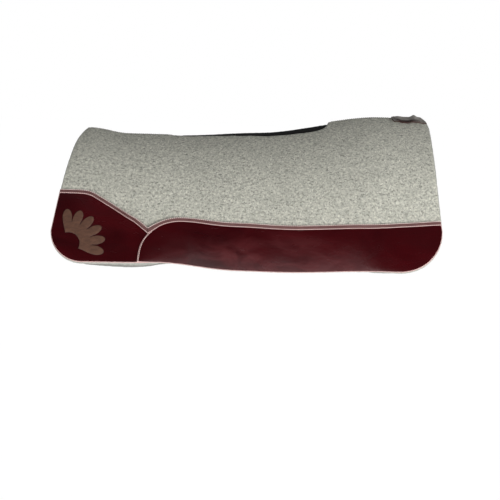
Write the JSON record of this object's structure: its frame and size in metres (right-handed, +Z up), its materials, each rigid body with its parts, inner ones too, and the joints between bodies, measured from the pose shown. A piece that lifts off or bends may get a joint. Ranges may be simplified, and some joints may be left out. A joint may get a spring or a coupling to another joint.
{
  "type": "western saddle pad",
  "caption": "Contoured wool felt saddle pad draped as over a horse's back, with a black spine inlay, oxblood wear leathers and a wither patch",
  "frame": {"origin": "middle of the pad's footprint, on the ground under its lower edges", "axes": "+X towards the withers end, +Y to the horse's left side, +Z up"},
  "size_m": [0.824, 0.511, 0.3376],
  "materials": {
    "felt_grey": "matte",
    "felt_pale": "matte",
    "inlay_black": "matte",
    "leather_oxblood": "satin",
    "trim_mauve": "matte",
    "leather_tan": "matte",
    "leather_brown": "satin",
    "thread_pink": "matte",
    "thread_grey": "matte"
  },
  "bodies": {
    "root": {"top_felt_left": "felt_grey", "top_felt_right": "felt_grey", "bottom_felt_left": "felt_pale", "bottom_felt_right": "felt_pale", "spine_inlay": "inlay_black", "wear_leather_left": "leather_oxblood", "wear_leather_right": "leather_oxblood", "corner_leather_left": "leather_oxblood", "corner_leather_right": "leather_oxblood", "wear_trim_left": "trim_mauve", "wear_trim_right": "trim_mauve", "corner_trim_left": "trim_mauve", "corner_trim_right": "trim_mauve", "corner_rosette_left": "leather_tan", "corner_rosette_right": "leather_tan", "wither_patch": "leather_brown", "wither_patch_thread": "thread_grey", "spine_seam_front": "thread_grey", "spine_seam_rear": "thread_grey", "wear_thread_upper_left": "thread_pink", "wear_thread_upper_right": "thread_pink", "wear_thread_lower_left": "thread_pink", "wear_thread_lower_right": "thread_pink", "corner_thread_upper_left": "thread_pink", "corner_thread_upper_right": "thread_pink", "corner_thread_lower_left": "thread_pink", "corner_thread_lower_right": "thread_pink", "lap_thread_left": "thread_pink", "lap_thread_right": "thread_pink"}
  },
  "joints": []
}
